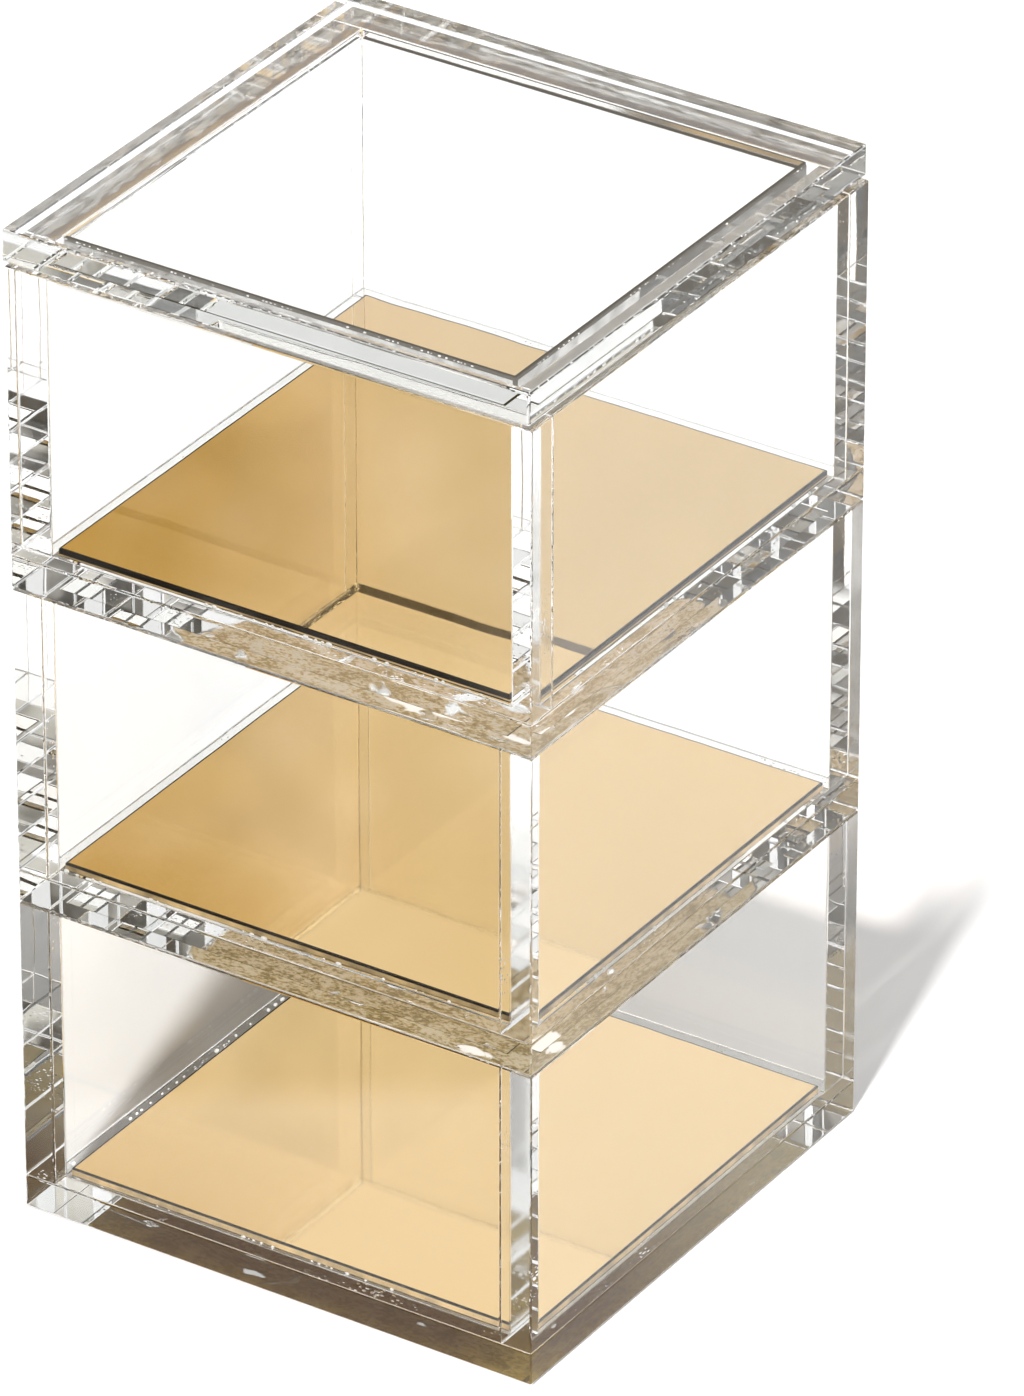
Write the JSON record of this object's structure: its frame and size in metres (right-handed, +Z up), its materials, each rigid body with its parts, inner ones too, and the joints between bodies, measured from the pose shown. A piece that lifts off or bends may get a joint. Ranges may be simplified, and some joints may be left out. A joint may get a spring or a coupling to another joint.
{
  "type": "tiered organizer",
  "caption": "Square stacking organizer: clear acrylic trays with gold mirror floors, nested on locating plates, under a clear lift-off lid.",
  "frame": {"origin": "middle of the bottom tray's underside, on the surface that the organizer stands on", "axes": "+Z up along the stack, +X to the right and -Y to the front, square to the walls"},
  "size_m": [0.1024, 0.102, 0.1861],
  "materials": {
    "clear_acrylic": "clear cast acrylic sheet with polished faces and flame-polished edges",
    "gold_mirror": "gold-tinted mirrored acrylic sheet, painted on the back"
  },
  "bodies": {
    "bottom_tray": {"bottom_floor_plate": "clear_acrylic", "bottom_front_wall": "clear_acrylic", "bottom_rear_wall": "clear_acrylic", "bottom_left_wall": "clear_acrylic", "bottom_right_wall": "clear_acrylic", "bottom_mirror_plate": "gold_mirror"},
    "middle_tray": {"middle_floor_plate": "clear_acrylic", "middle_front_wall": "clear_acrylic", "middle_rear_wall": "clear_acrylic", "middle_left_wall": "clear_acrylic", "middle_right_wall": "clear_acrylic", "middle_mirror_plate": "gold_mirror", "middle_locating_plate": "clear_acrylic"},
    "top_tray": {"top_floor_plate": "clear_acrylic", "top_front_wall": "clear_acrylic", "top_rear_wall": "clear_acrylic", "top_left_wall": "clear_acrylic", "top_right_wall": "clear_acrylic", "top_mirror_plate": "gold_mirror", "top_locating_plate": "clear_acrylic"},
    "lid": {"lid_plate": "clear_acrylic", "lid_locating_plate": "clear_acrylic"}
  },
  "joints": [
    {"name": "middle_tray_lift", "type": "slide", "parent": "bottom_tray", "child": "middle_tray", "axis": [0, 0, 1], "range_m": [0, 0.08]},
    {"name": "top_tray_lift", "type": "slide", "parent": "middle_tray", "child": "top_tray", "axis": [0, 0, 1], "range_m": [0, 0.08]},
    {"name": "lid_lift", "type": "slide", "parent": "top_tray", "child": "lid", "axis": [0, 0, 1], "range_m": [0, 0.05]}
  ]
}
